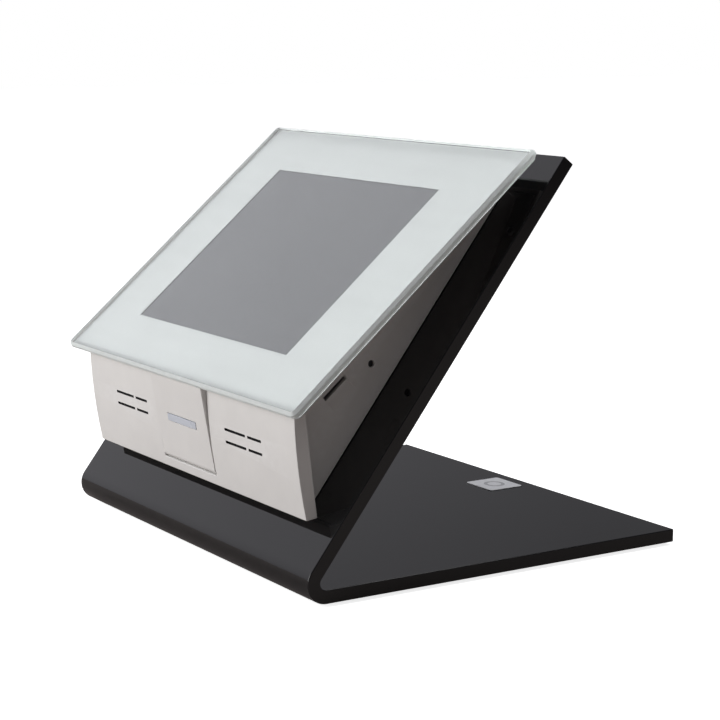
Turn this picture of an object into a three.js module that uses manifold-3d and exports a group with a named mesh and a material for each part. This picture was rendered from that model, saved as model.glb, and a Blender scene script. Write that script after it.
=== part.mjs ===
// A tabletop touchscreen terminal: a glass-fronted panel in a wedge housing, carried by a
// stand bent from one sheet of acrylic. Millimetres, +Z up, the visitor stands on the -Y side.
// The origin is the middle of the footprint, on the surface the feet rest on.
import * as THREE from 'three';
import { mergeVertices } from 'three/addons/utils/BufferGeometryUtils.js';
import Module from 'manifold-3d';

const wasm = await Module();
wasm.setup();

// ---------------------------------------------------------------- driving dimensions

const GAP = 0.3; // between pieces that touch on the real object
const RUNNING = 0.1; // radial clearance of a pin or plunger in its hole

const stand = { width: 220, sheet: 6, bendRadius: 3, baseDepth: 186, leanDeg: 52.4, topMargin: 5.7 };
const foot = { radius: 6, height: 1.5, inset: 14, chamfer: 0.6 };
const label = { width: 21.5, depth: 19.5, thick: 0.4, rearInset: 7, offCentre: -6, corner: 1.5 };

const screen = { width: 138.4, height: 102, across: -2.5 }; // a little left of the glass's middle
const glass = { thick: 4, above: 28.2, below: 27.4, overhang: 10.6, corner: 3, bevel: 1.3 };
const mask = { thick: 0.2, inset: 1.4 };
const tape = { thick: 0.5, inset: 3, band: 8 };
const sensor = { border: 5.5, thick: 0.5 };
const gasket = { band: 3, thick: 0.9 };
const cell = { border: 3, thick: 1.4 };
const backlight = { thick: 2.6 };
const module = { border: 6, wall: 1.6 };

const bezel = { wall: 2, coverDepth: 5.3, coverHeight: 46.8, coverBulge: 1.1, coverLeanDeg: 97 };
const seat = { along: 17.2, out: 7.3, topGap: 6.1 }; // how the housing sits on the leaning plate
const bezelEdge = { topInset: 6.7, bottomInset: 4.7 }; // bezel edge inside the glass edge
const flange = { thick: 1.5, width: 14 };
const housing = { sideRoom: 6.3, wall: 2.5, backWall: 2, recess: 3.1, topInset: 3 };

const bracket = { thick: 1.5, width: 140, length: 128, corner: 8, bottomInset: 12 };
const standScrew = { radius: 1.9, headRadius: 3.8, headHeight: 2.2, grip: 5, acrossX: 112, up: 104 };
const washer = { radius: 4.8, thick: 0.8 };
const insert = { radius: 3, length: 5.5, bossWall: 2 };
const cablePass = { radius: 18, along: 82, lip: 2, lipThick: 1.6, wall: 3.5 };

const flap = {
  width: 49, bottomInset: 5, topInset: 1.5, proudLow: 0.8, proudHigh: 2.9, back: 1.6, skin: 1.6,
};
const hinge = { setBack: 1.4, pinRadius: 0.8, lugWidth: 4, lugBack: 3 };
const flapFit = 0.4; // clearance all round the flap in its opening
const flapShift = -2.7; // the flap and the speaker slots sit a little left of the middle
const slotShift = -1;
const indicator = { width: 27, height: 3.2, depth: 1.2, proud: 0.2, up: 25.8 };
const tray = { floorUp: 14, depth: 11.1, wall: 1.4 };
const usb = { width: 13.1, height: 5.7, length: 6, shell: 0.5, apart: 20, up: 19 };

const slot = {
  long: 18.2, short: 11.8, bridge: 2, height: 1.2, rowPitch: 5.7, up: 26.1, besideFlap: 29.1,
};
const speaker = { width: 44, height: 20, depth: 3.5, magnetRadius: 7, magnetDepth: 5 };
const cloth = { width: 38, height: 13, thick: 0.4 };

const board = { thick: 1.6, spacing: 6, bottomInset: 19.4, length: 62, sideRoom: 2 };
const standoff = { radius: 2.75, bore: 1.6, sideInset: 17, endInset: 6 };
const boardScrew = { radius: 1.3, headRadius: 2.6, headHeight: 1.5, length: 5 };
const cardSlot = { width: 13.8, height: 2, up: -49.4, scoop: 7, scoopDepth: 1 };
const cardSocket = { width: 16, length: 14, wall: 0.4 };
const reset = { holeRadius: 1.6, up: -30, behindBoard: 6.4, recess: 1.1, length: 3.2, travel: 0.4 };
const resetSwitch = { width: 6, length: 4.5, tail: 3 };
const terminal = { width: 22, height: 9, depth: 8, up: -22.8 };
const heatSink = { width: 40, height: 26, base: 1.5, finHeight: 4.5, fin: 1.6, fins: 6, x: -40, up: -28.8 };
const ribbon = { width: 24, thick: 0.3, reach: 12, up: -38 };
const caseScrew = { radius: 1.1, headRadius: 2.2, headHeight: 1.4, bite: 1.2, high: 20, low: 26.4 };

// ---------------------------------------------------------------- side-view frames

// A frame is a place in the side view, turned about X: 'along' runs up it, 'out' leaves it
// on the visitor's side. Side-view points are [y, z].
const radians = THREE.MathUtils.degToRad;

function place(frame, along, out) {
  const c = Math.cos(frame.turn);
  const s = Math.sin(frame.turn);
  return [frame.y + along * c - out * s, frame.z + along * s + out * c];
}

function alongIn(frame, [y, z]) {
  return (y - frame.y) * Math.cos(frame.turn) + (z - frame.z) * Math.sin(frame.turn);
}

function outIn(frame, [y, z]) {
  return (z - frame.z) * Math.cos(frame.turn) - (y - frame.y) * Math.sin(frame.turn);
}

const sameOut = (frame, out) => ({ from: place(frame, 0, out), to: place(frame, 1, out) });
const sameAlong = (frame, along) => ({ from: place(frame, along, 0), to: place(frame, along, 1) });

function meet(a, b) {
  const [ay, az] = [a.to[0] - a.from[0], a.to[1] - a.from[1]];
  const [by, bz] = [b.to[0] - b.from[0], b.to[1] - b.from[1]];
  const t = ((b.from[0] - a.from[0]) * bz - (b.from[1] - a.from[1]) * by) / (ay * bz - az * by);
  return [a.from[0] + t * ay, a.from[1] + t * az];
}

const outerBend = stand.bendRadius + stand.sheet;
const bendCentre = { y: 0, z: foot.height + outerBend, turn: radians(stand.leanDeg) };
const plateFoot = place(bendCentre, 0, outerBend);
const plate = { y: plateFoot[0], z: plateFoot[1], turn: bendCentre.turn };

const coverFoot = place(plate, seat.along, seat.out);
const cover = { y: coverFoot[0], z: coverFoot[1], turn: radians(bezel.coverLeanDeg) };
const coverTop = place(cover, bezel.coverHeight, 0);

const glassHeight = glass.below + screen.height + glass.above;
const bezelLength = glassHeight - bezelEdge.topInset - bezelEdge.bottomInset;
const rimDepth = bezel.wall + GAP + flange.thick;
const stackDepth = glass.thick + GAP + mask.thick + GAP + tape.thick + GAP;

// the wedge closes so that the bezel's upper back edge stands seat.topGap off the plate
const wedgeDrop = outIn(plate, coverTop) - seat.topGap;
const wedge = Math.asin(wedgeDrop / Math.hypot(bezelLength, rimDepth)) - Math.atan2(rimDepth, bezelLength);
const onCoverTop = { y: coverTop[0], z: coverTop[1], turn: plate.turn - wedge };
const glassMiddle = place(onCoverTop, glassHeight / 2 - bezelEdge.bottomInset, stackDepth);
const panel = { y: glassMiddle[0], z: glassMiddle[1], turn: onCoverTop.turn };

// ---------------------------------------------------------------- derived sizes

const screenUp = (glass.below - glass.above) / 2; // screen centre from the glass centre
const moduleWidth = screen.width + 2 * module.border;
const moduleHeight = screen.height + 2 * module.border;
const caseHalf = moduleWidth / 2 + housing.sideRoom + housing.wall;
const caseInner = caseHalf - housing.wall;
const bezelHalf = caseHalf + flange.width;
const glassWidth = 2 * (bezelHalf + glass.overhang);
const plateLength = alongIn(plate, place(panel, glassHeight / 2, 0)) + stand.topMargin;

const bezelTop = glassHeight / 2 - bezelEdge.topInset;
const bezelFront = -stackDepth;
const bezelBack = bezelFront - rimDepth;
const coverBack = -bezel.coverDepth;
const flangeEnd = bezel.wall + GAP; // from the bezel's outer edges to the flange's edge
const caseFloor = GAP + housing.recess + housing.backWall; // inner face of the back wall
const caseJoinPanel = bezelBack + flange.thick / 2;
const caseJoinCover = coverBack + flange.thick / 2;
const caseBottom = alongIn(plate, place(cover, flangeEnd, coverBack));
const caseTopPoint = place(panel, bezelTop - flangeEnd - housing.topInset, caseJoinPanel);
const caseTop = alongIn(plate, caseTopPoint);

const bracketMiddle = caseBottom + housing.wall + bracket.bottomInset + bracket.length / 2;
const moduleFront = bezelFront - GAP;
const cellFront = moduleFront - gasket.thick - GAP;
const backlightBack = cellFront - cell.thick - GAP - backlight.thick;
const boardFront = backlightBack - board.spacing;
const boardBack = boardFront - board.thick;
const boardLow = -glassHeight / 2 + board.bottomInset;
const boardMiddle = boardLow + board.length / 2;
const boardHalf = caseInner - board.sideRoom;

const hingeUp = flap.bottomInset + flap.proudLow + hinge.setBack;
const barrelRadius = flap.proudLow + hinge.setBack;
const flapTop = bezel.coverHeight - flap.topInset;

// ---------------------------------------------------------------- geometry helpers

function turnedInto(frame, x, along, out) {
  const [y, z] = place(frame, along, out);
  return new THREE.Matrix4().makeRotationX(frame.turn).setPosition(x, y, z);
}

function box(width, height, depth) {
  return new THREE.BoxGeometry(width, height, depth);
}

function rod(radius, length, sides = 16) {
  return new THREE.CylinderGeometry(radius, radius, length, sides);
}

function rodOut(radius, length, sides = 16) {
  return rod(radius, length, sides).rotateX(Math.PI / 2);
}

function rodAcross(radius, length, sides = 16) {
  return rod(radius, length, sides).rotateZ(Math.PI / 2);
}

// a side-view outline of [y, z] points, carried across X
function across(points, width) {
  const shape = new THREE.Shape(points.map(([y, z]) => new THREE.Vector2(y, z)));
  const turned = new THREE.Matrix4().set(0, 0, 1, -width / 2, 1, 0, 0, 0, 0, 1, 0, 0, 0, 0, 0, 1);
  return new THREE.ExtrudeGeometry(shape, { depth: width, bevelEnabled: false }).applyMatrix4(turned);
}

function roundedPath(path, width, height, radius) {
  const [w, h] = [width / 2, height / 2];
  path.moveTo(-w + radius, -h);
  path.lineTo(w - radius, -h);
  path.absarc(w - radius, -h + radius, radius, -Math.PI / 2, 0, false);
  path.absarc(w - radius, h - radius, radius, 0, Math.PI / 2, false);
  path.absarc(-w + radius, h - radius, radius, Math.PI / 2, Math.PI, false);
  path.absarc(-w + radius, -h + radius, radius, Math.PI, Math.PI * 1.5, false);
  return path;
}

// a flat slab with round corners, its faces square to Z and centred on the origin
function slab(width, height, thick, radius, bevel = 0) {
  const path = roundedPath(new THREE.Shape(), width - 2 * bevel, height - 2 * bevel, radius - bevel);
  const options = {
    depth: thick - 2 * bevel,
    bevelEnabled: bevel > 0,
    bevelSize: bevel,
    bevelThickness: bevel,
    bevelSegments: 1,
    curveSegments: 4,
  };
  return new THREE.ExtrudeGeometry(path, options).translate(0, 0, bevel - thick / 2);
}

// a flat picture-frame ring
function ring(width, height, thick, radius, openWidth, openHeight, openMiddle = [0, 0]) {
  const path = roundedPath(new THREE.Shape(), width, height, radius);
  const [x, y] = openMiddle;
  const [w, h] = [openWidth / 2, openHeight / 2];
  const hole = new THREE.Path();
  hole.moveTo(x - w, y - h);
  hole.lineTo(x - w, y + h);
  hole.lineTo(x + w, y + h);
  hole.lineTo(x + w, y - h);
  hole.closePath();
  path.holes.push(hole);
  const options = { depth: thick, bevelEnabled: false, curveSegments: 4 };
  return new THREE.ExtrudeGeometry(path, options).translate(0, 0, -thick / 2);
}

// a turned piece: [radius, height] points from the lower axis to the upper axis, or a closed loop
function turned(points, sides = 16) {
  return new THREE.LatheGeometry(points.map(([r, h]) => new THREE.Vector2(r, h)), sides);
}

// a screw along +Z: the head's underside is at 0 and the shank runs to +length
function screw({ radius, headRadius, headHeight }, length) {
  const profile = [
    [0, -headHeight],
    [headRadius * 0.7, -headHeight],
    [headRadius, -headHeight * 0.4],
    [headRadius, 0],
    [radius, 0],
    [radius, length - radius * 0.4],
    [radius * 0.6, length],
    [0, length],
  ];
  return turned(profile, 14).rotateX(Math.PI / 2);
}

// a tube along Z, centred on the origin
function tube(radius, bore, length, sides = 16) {
  const profile = [
    [bore, -length / 2],
    [radius, -length / 2],
    [radius, length / 2],
    [bore, length / 2],
    [bore, -length / 2],
  ];
  return turned(profile, sides).rotateX(Math.PI / 2);
}

function toSolid(geometry) {
  const bare = geometry.clone();
  bare.deleteAttribute('normal');
  bare.deleteAttribute('uv');
  const merged = mergeVertices(bare, 1e-4);
  const vertProperties = new Float32Array(merged.attributes.position.array);
  const triVerts = new Uint32Array(merged.index.array);
  return new wasm.Manifold(new wasm.Mesh({ numProp: 3, vertProperties, triVerts }));
}

function toGeometry(solid) {
  const mesh = solid.getMesh();
  const geometry = new THREE.BufferGeometry();
  geometry.setAttribute('position', new THREE.BufferAttribute(mesh.vertProperties, mesh.numProp));
  geometry.setIndex(new THREE.BufferAttribute(mesh.triVerts, 1));
  return geometry;
}

function joined(...pieces) {
  return toGeometry(pieces.map(toSolid).reduce((sum, piece) => sum.add(piece)));
}

function cutBy(body, ...cutters) {
  return toGeometry(cutters.map(toSolid).reduce((rest, cutter) => rest.subtract(cutter), toSolid(body)));
}

const inPlate = (geometry, x, along, out) => geometry.applyMatrix4(turnedInto(plate, x, along, out));
const inPanel = (geometry, x, along, out) => geometry.applyMatrix4(turnedInto(panel, x, along, out));
const inCover = (geometry, x, along, out) => geometry.applyMatrix4(turnedInto(cover, x, along, out));

// ---------------------------------------------------------------- materials

const finish = (color, roughness, metalness = 0) =>
  new THREE.MeshStandardMaterial({ color, roughness, metalness });

const blackAcrylic = finish(0x09090b, 0.06);
const rubber = finish(0x1b1b1c, 0.85);
const labelFoil = finish(0xb9b9bd, 0.4);
const steel = finish(0xa9abad, 0.35, 1);
const whitePlastic = finish(0xe0dcd8, 0.55);
const whiteGlass = finish(0xd6dfdc, 0.08);
const whiteInk = finish(0xe4e6e2, 0.7);
const displayGrey = finish(0x8c8d90, 0.25);
const blackFoam = finish(0x232323, 0.9);
const greenBoard = finish(0x1f5a3a, 0.6);
const brass = finish(0xb99850, 0.35, 1);
const blackPlastic = finish(0x1a1a1b, 0.6);
const aluminium = finish(0xb4b6b8, 0.45, 1);
const paleBlue = finish(0xb9c0cc, 0.35);
const amberFilm = finish(0xb0762a, 0.5);

// ---------------------------------------------------------------- scene graph

const kiosk = new THREE.Group();
const standGroup = new THREE.Group();
kiosk.add(standGroup);

function turnedGroup(frame) {
  const group = new THREE.Group();
  group.position.set(0, frame.y, frame.z);
  group.rotation.x = frame.turn;
  standGroup.add(group);
  return group;
}

const plateGroup = turnedGroup(plate);
const panelGroup = turnedGroup(panel);
const coverGroup = turnedGroup(cover);

function add(group, name, geometry, material, x = 0, y = 0, z = 0) {
  const mesh = new THREE.Mesh(geometry, material);
  mesh.name = name;
  mesh.position.set(x, y, z);
  group.add(mesh);
}

// ---------------------------------------------------------------- stand

const fromCorners = (dx, dy) => [[-dx, -dy], [dx, -dy], [dx, dy], [-dx, dy]];
const standScrewPlaces = fromCorners(standScrew.acrossX / 2, standScrew.up / 2);

function bendArc(radius, from, to) {
  const steps = 10;
  const at = (i) => from + ((to - from) * i) / steps;
  const point = (angle) => [radius * Math.cos(angle), bendCentre.z + radius * Math.sin(angle)];
  return Array.from({ length: steps + 1 }, (_, i) => point(at(i)));
}

function acrylicStand() {
  const underBend = -Math.PI / 2;
  const plateSide = plate.turn + Math.PI / 2 - 2 * Math.PI;
  const outline = [
    [stand.baseDepth, foot.height],
    [stand.baseDepth, foot.height + stand.sheet],
    ...bendArc(stand.bendRadius, underBend, plateSide),
    place(plate, plateLength, -stand.sheet),
    place(plate, plateLength, 0),
    ...bendArc(outerBend, plateSide, underBend),
  ];
  const through = 3 * stand.sheet;
  const holes = standScrewPlaces.map(([x, up]) =>
    inPlate(rodOut(standScrew.radius + GAP, through), x, bracketMiddle + up, 0));
  const passage = inPlate(rodOut(cablePass.radius, through, 32), 0, cablePass.along, 0);
  return cutBy(across(outline, stand.width), ...holes, passage);
}

function rubberFoot() {
  const { radius, height, chamfer } = foot;
  return turned([[0, 0], [radius - chamfer, 0], [radius, chamfer], [radius, height], [0, height]])
    .rotateX(Math.PI / 2);
}

add(standGroup, 'acrylic_stand', acrylicStand(), blackAcrylic);

const footX = stand.width / 2 - foot.inset;
const footY = [foot.inset - outerBend + stand.bendRadius, stand.baseDepth - foot.inset];
[[-footX, footY[0]], [footX, footY[0]], [-footX, footY[1]], [footX, footY[1]]].forEach(([x, y], i) => {
  add(standGroup, `rubber_foot_${i + 1}`, rubberFoot(), rubber, x, y, 0);
});

const labelY = stand.baseDepth - label.rearInset - label.depth / 2;
const labelZ = foot.height + stand.sheet + label.thick / 2;
add(standGroup, 'base_label', slab(label.width, label.depth, label.thick, label.corner), labelFoil,
  label.offCentre, labelY, labelZ);

// ---------------------------------------------------------------- fixing to the plate

function mountingPlate() {
  const blank = slab(bracket.width, bracket.length, bracket.thick, bracket.corner);
  const holes = standScrewPlaces.map(([x, up]) =>
    rodOut(standScrew.radius + GAP, 3 * bracket.thick).translate(x, up, 0));
  const passage = rodOut(cablePass.radius, 3 * bracket.thick, 32)
    .translate(0, cablePass.along - bracketMiddle, 0);
  return cutBy(blank, ...holes, passage);
}

// a rubber ring gripping the edge of the passage hole
function grommet() {
  const hole = cablePass.radius - GAP;
  const half = stand.sheet / 2 + GAP;
  const lipRadius = cablePass.radius + cablePass.lip;
  const bore = hole - cablePass.wall;
  const profile = [
    [bore, -half - cablePass.lipThick],
    [lipRadius, -half - cablePass.lipThick],
    [lipRadius, -half],
    [hole, -half],
    [hole, half - GAP],
    [bore, half - GAP],
    [bore, -half - cablePass.lipThick],
  ];
  return turned(profile, 32).rotateX(Math.PI / 2);
}

add(plateGroup, 'mounting_plate', mountingPlate(), steel, 0, bracketMiddle, GAP + bracket.thick / 2);
add(plateGroup, 'cable_grommet', grommet(), rubber, 0, cablePass.along, -stand.sheet / 2);

const washerOut = -stand.sheet - GAP - washer.thick / 2;
const screwSeat = -stand.sheet - GAP - washer.thick - GAP;
const insertOut = GAP + bracket.thick + GAP + insert.length / 2;
const standScrewLength = insertOut - screwSeat + standScrew.grip / 2;
standScrewPlaces.forEach(([x, up], i) => {
  const along = bracketMiddle + up;
  const washerRing = tube(washer.radius, standScrew.radius + GAP, washer.thick);
  const insertTube = tube(insert.radius, standScrew.radius + RUNNING, insert.length);
  add(plateGroup, `stand_screw_${i + 1}`, screw(standScrew, standScrewLength), steel, x, along, screwSeat);
  add(plateGroup, `screw_washer_${i + 1}`, washerRing, blackPlastic, x, along, washerOut);
  add(plateGroup, `threaded_insert_${i + 1}`, insertTube, brass, x, along, insertOut);
});

// ---------------------------------------------------------------- glass front and display

const maskOut = -glass.thick - GAP - mask.thick / 2;
const tapeOut = -glass.thick - GAP - mask.thick - GAP - tape.thick / 2;
const moduleOpening = { width: moduleWidth + 4 * GAP, height: moduleHeight + 4 * GAP };
const bezelMiddle = (bezelEdge.bottomInset - bezelEdge.topInset) / 2;

add(panelGroup, 'front_glass', slab(glassWidth, glassHeight, glass.thick, glass.corner, glass.bevel),
  whiteGlass, 0, 0, -glass.thick / 2);

const maskWidth = glassWidth - 2 * mask.inset;
const maskHeight = glassHeight - 2 * mask.inset;
const maskRing = ring(maskWidth, maskHeight, mask.thick, 2, screen.width, screen.height,
  [screen.across, screenUp]);
add(panelGroup, 'print_mask', maskRing, whiteInk, 0, 0, maskOut);

const tapeWidth = 2 * (bezelHalf - tape.inset);
const tapeHeight = bezelLength - 2 * tape.inset;
const tapeRing = ring(tapeWidth, tapeHeight, tape.thick, 2, tapeWidth - 2 * tape.band,
  tapeHeight - 2 * tape.band);
add(panelGroup, 'glass_tape', tapeRing, blackFoam, 0, bezelMiddle, tapeOut);

const sensorOut = -glass.thick - GAP - mask.thick - GAP - sensor.thick / 2;
const sensorSheet = box(screen.width + 2 * sensor.border, screen.height + 2 * sensor.border, sensor.thick);
add(panelGroup, 'touch_sensor', sensorSheet, displayGrey, screen.across, screenUp, sensorOut);

const gasketRing = ring(moduleWidth, moduleHeight, gasket.thick, 1,
  moduleWidth - 2 * gasket.band, moduleHeight - 2 * gasket.band);
add(panelGroup, 'display_gasket', gasketRing, blackFoam, screen.across, screenUp,
  moduleFront - gasket.thick / 2);

const moduleDepth = cellFront - backlightBack;
const frameRing = ring(moduleWidth, moduleHeight, moduleDepth, 0.5,
  moduleWidth - 2 * module.wall, moduleHeight - 2 * module.wall);
add(panelGroup, 'display_frame', frameRing, steel, screen.across, screenUp, cellFront - moduleDepth / 2);

const cellSheet = box(screen.width + 2 * cell.border, screen.height + 2 * cell.border, cell.thick);
add(panelGroup, 'display_cell', cellSheet, displayGrey, screen.across, screenUp, cellFront - cell.thick / 2);

const lightWidth = moduleWidth - 2 * module.wall - 2 * GAP;
const lightHeight = moduleHeight - 2 * module.wall - 2 * GAP;
add(panelGroup, 'backlight_unit', box(lightWidth, lightHeight, backlight.thick), aluminium,
  screen.across, screenUp, backlightBack + backlight.thick / 2);

// ---------------------------------------------------------------- front bezel with the lower cover

// the cover's front face bulges a little from its bottom edge to the glass
function coverFace(steps = 6) {
  const { coverHeight, coverBulge } = bezel;
  const point = (t) => place(cover, coverHeight * t, 4 * coverBulge * t * (1 - t));
  return Array.from({ length: steps + 1 }, (_, i) => point(1 - i / steps));
}

function bezelShell() {
  const { wall, coverDepth } = bezel;
  const behind = 3; // the hollow's cutter runs this far past the back edge
  const outline = [
    place(panel, bezelTop, bezelFront),
    ...coverFace(),
    place(cover, 0, coverBack),
    meet(sameOut(cover, coverBack), sameOut(panel, bezelBack)),
    place(panel, bezelTop, bezelBack),
  ];
  const hollow = [
    place(panel, bezelTop - wall, bezelFront - wall),
    meet(sameOut(panel, bezelFront - wall), sameOut(cover, -wall)),
    place(cover, wall, -wall),
    place(cover, wall, -coverDepth - behind),
    meet(sameOut(cover, -coverDepth - behind), sameOut(panel, bezelBack - behind)),
    place(panel, bezelTop - wall, bezelBack - behind),
  ];
  return cutBy(across(outline, 2 * bezelHalf), across(hollow, 2 * (bezelHalf - wall)));
}

const speakerAcross = flap.width / 2 + slot.besideFlap;

// each speaker has two rows of one long and one short slot
function slotCutters() {
  const rowLength = slot.long + slot.bridge + slot.short;
  const through = 6 * bezel.wall;
  const cutters = [];
  for (const centre of [-speakerAcross, speakerAcross]) {
    for (const row of [-0.5, 0.5]) {
      const start = slotShift + centre - rowLength / 2;
      const up = slot.up + row * slot.rowPitch;
      const shortMiddle = start + slot.long + slot.bridge + slot.short / 2;
      cutters.push(inCover(box(slot.long, slot.height, through), start + slot.long / 2, up, 0));
      cutters.push(inCover(box(slot.short, slot.height, through), shortMiddle, up, 0));
    }
  }
  return cutters;
}

const lugMiddle = flap.width / 2 + flapFit + hinge.lugWidth / 2;
const lugReach = bezel.wall + hinge.lugBack; // how far behind the cover's face the lugs end

function hingeLugs() {
  const depth = lugReach - bezel.wall / 2;
  return [-lugMiddle, lugMiddle].map((x) =>
    inCover(box(hinge.lugWidth, 2 * barrelRadius, depth), flapShift + x, hingeUp, depth / 2 - lugReach));
}

const pinLength = flap.width + 2 * flapFit + 2 * hinge.lugWidth - 2 * GAP;
const caseScrewX = (caseHalf + bezelHalf - flangeEnd) / 2;
const caseScrewUp = [bezelTop - caseScrew.high, -glassHeight / 2 + caseScrew.low];
const caseScrewPlaces = caseScrewUp.flatMap((up) => [[-caseScrewX, up], [caseScrewX, up]]);

function frontBezel() {
  const withLugs = joined(bezelShell(), ...hingeLugs());
  const opening = inPanel(box(moduleOpening.width, moduleOpening.height, 4 * bezel.wall),
    screen.across, screenUp, bezelFront - bezel.wall / 2);
  const flapSpan = flapTop - flap.bottomInset + 2 * flapFit;
  const flapMiddle = (flapTop + flap.bottomInset) / 2;
  const flapOpening = inCover(box(flap.width + 2 * flapFit, flapSpan, 4 * lugReach),
    flapShift, flapMiddle, 0);
  const pinHole = inCover(rodAcross(hinge.pinRadius + RUNNING, pinLength + 2 * GAP), flapShift,
    hingeUp, -hinge.setBack);
  const screwHoles = caseScrewPlaces.map(([x, up]) =>
    inPanel(rodOut(caseScrew.radius + RUNNING, 2 * (caseScrew.bite + GAP)), x, up, bezelFront - bezel.wall));
  return cutBy(withLugs, opening, flapOpening, pinHole, ...screwHoles, ...slotCutters());
}

add(standGroup, 'front_bezel', frontBezel(), whitePlastic);

// ---------------------------------------------------------------- rear case

function caseShell() {
  const { wall, backWall, recess } = housing;
  const flangeFrontPanel = bezelBack + flange.thick;
  const flangeFrontCover = coverBack + flange.thick;
  const rim = [
    place(panel, bezelTop - flangeEnd, flangeFrontPanel),
    meet(sameOut(panel, flangeFrontPanel), sameOut(cover, flangeFrontCover)),
    place(cover, flangeEnd, flangeFrontCover),
    place(cover, flangeEnd, coverBack),
    meet(sameOut(cover, coverBack), sameOut(panel, bezelBack)),
    place(panel, bezelTop - flangeEnd, bezelBack),
  ];
  const outline = [
    place(plate, caseBottom, GAP),
    meet(sameAlong(plate, caseBottom), sameOut(cover, caseJoinCover)),
    meet(sameOut(cover, caseJoinCover), sameOut(panel, caseJoinPanel)),
    caseTopPoint,
    place(plate, caseTop, GAP),
  ];
  const hollow = [
    place(plate, caseBottom + wall, caseFloor),
    meet(sameAlong(plate, caseBottom + wall), sameOut(cover, flangeFrontCover + 1)),
    meet(sameOut(cover, flangeFrontCover + 1), sameOut(panel, flangeFrontPanel + 1)),
    meet(sameAlong(plate, caseTop - wall), sameOut(panel, flangeFrontPanel + 1)),
    place(plate, caseTop - wall, caseFloor),
  ];
  const backRecess = [
    place(plate, caseBottom + wall, -recess),
    place(plate, caseBottom + wall, caseFloor - backWall),
    place(plate, caseTop - wall, caseFloor - backWall),
    place(plate, caseTop - wall, -recess),
  ];
  const body = joined(across(rim, 2 * (bezelHalf - flangeEnd)), across(outline, 2 * caseHalf));
  return cutBy(body, across(hollow, 2 * caseInner), across(backRecess, 2 * caseInner));
}

const insertBack = GAP + bracket.thick + GAP;

function insertBosses() {
  const length = insert.length + insert.bossWall;
  return standScrewPlaces.map(([x, up]) =>
    inPlate(rodOut(insert.radius + insert.bossWall, length), x, bracketMiddle + up,
      insertBack + length / 2));
}

function insertHoles() {
  const depth = insert.length + GAP;
  return standScrewPlaces.map(([x, up]) =>
    inPlate(rodOut(insert.radius + RUNNING, 2 * depth), x, bracketMiddle + up, insertBack));
}

const cardOut = boardBack - GAP - cardSocket.wall - cardSlot.height / 2;
const resetOut = boardBack - reset.behindBoard;

// the card slot with its finger scoop, and the reset hole, all in the right-hand wall
function sideCutters() {
  const { width, height, up, scoop, scoopDepth } = cardSlot;
  const scoopRadius = (scoop * scoop + scoopDepth * scoopDepth) / (2 * scoopDepth);
  const mouth = inPanel(box(4 * housing.wall, width, height), caseHalf, up, cardOut);
  const thumb = inPanel(new THREE.CylinderGeometry(scoopRadius, scoopRadius, width, 48),
    caseHalf + scoopRadius - scoopDepth, up, cardOut);
  const pinhole = inPanel(rodAcross(reset.holeRadius, 4 * housing.wall), caseHalf, reset.up, resetOut);
  return [mouth, thumb, pinhole];
}

function rearCase() {
  const passage = inPlate(rodOut(cablePass.radius, 3 * caseFloor, 32), 0, cablePass.along, caseFloor);
  const hingeRoom = inCover(
    box(2 * lugMiddle + hinge.lugWidth + 4 * GAP, 2 * barrelRadius + 3, 2 * (lugReach + GAP)),
    flapShift, hingeUp, 0);
  const screwHoles = caseScrewPlaces.map(([x, up]) =>
    inPanel(rodOut(caseScrew.radius + GAP, 4 * flange.thick), x, up, bezelBack));
  const cutters = [...insertHoles(), ...sideCutters(), passage, hingeRoom, ...screwHoles];
  return cutBy(joined(caseShell(), ...insertBosses()), ...cutters);
}

add(standGroup, 'rear_case', rearCase(), whitePlastic);

const caseScrewSeat = bezelBack - GAP;
const caseScrewLength = GAP + flange.thick + GAP + caseScrew.bite;
caseScrewPlaces.forEach(([x, up], i) => {
  add(panelGroup, `case_screw_${i + 1}`, screw(caseScrew, caseScrewLength), steel, x, up, caseScrewSeat);
});

// ---------------------------------------------------------------- electronics

function mainBoard() {
  const blank = box(2 * boardHalf, board.length, board.thick);
  const holes = standoffPlaces.map(([x, up]) =>
    rodOut(boardScrew.radius + GAP, 3 * board.thick, 12).translate(x, up, 0));
  return cutBy(blank, ...holes);
}

const standoffPlaces = fromCorners(moduleWidth / 2 - standoff.sideInset,
  board.length / 2 - standoff.endInset);

add(panelGroup, 'main_board', mainBoard(), greenBoard, 0, boardMiddle, boardFront - board.thick / 2);

const standoffLength = board.spacing - 2 * GAP;
standoffPlaces.forEach(([x, up], i) => {
  const y = boardMiddle + up;
  const post = tube(standoff.radius, standoff.bore, standoffLength, 12);
  const boardScrewSeat = boardBack - GAP;
  add(panelGroup, `board_standoff_${i + 1}`, post, brass, x, y, boardFront + GAP + standoffLength / 2);
  add(panelGroup, `board_screw_${i + 1}`, screw(boardScrew, boardScrew.length), steel, x, y, boardScrewSeat);
});

// a metal shell with its mouth on the right, in line with the slot in the case
function cardReader() {
  const { width, length, wall } = cardSocket;
  const height = cardSlot.height + 2 * wall;
  const shell = box(length, width, height);
  return cutBy(shell, box(length, width - 2 * wall, height - 2 * wall).translate(wall * 2, 0, 0));
}

const cardX = caseInner - GAP - cardSocket.length / 2;
add(panelGroup, 'card_socket', cardReader(), steel, cardX, cardSlot.up, cardOut);

// the switch hangs off the back of the board, behind the hole in the side wall
function switchBody() {
  const depth = reset.behindBoard + resetSwitch.tail - GAP;
  return box(resetSwitch.length, resetSwitch.width, depth);
}

const buttonX = caseHalf - reset.recess - reset.length / 2;
const switchX = buttonX - reset.length / 2 - reset.travel - GAP - resetSwitch.length / 2;
const switchOut = boardBack - GAP - (reset.behindBoard + resetSwitch.tail - GAP) / 2;
add(panelGroup, 'reset_switch', switchBody(), blackPlastic, switchX, reset.up, switchOut);
add(panelGroup, 'reset_button', rodAcross(reset.holeRadius - 2 * RUNNING, reset.length), blackPlastic,
  buttonX, reset.up, resetOut);

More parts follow.
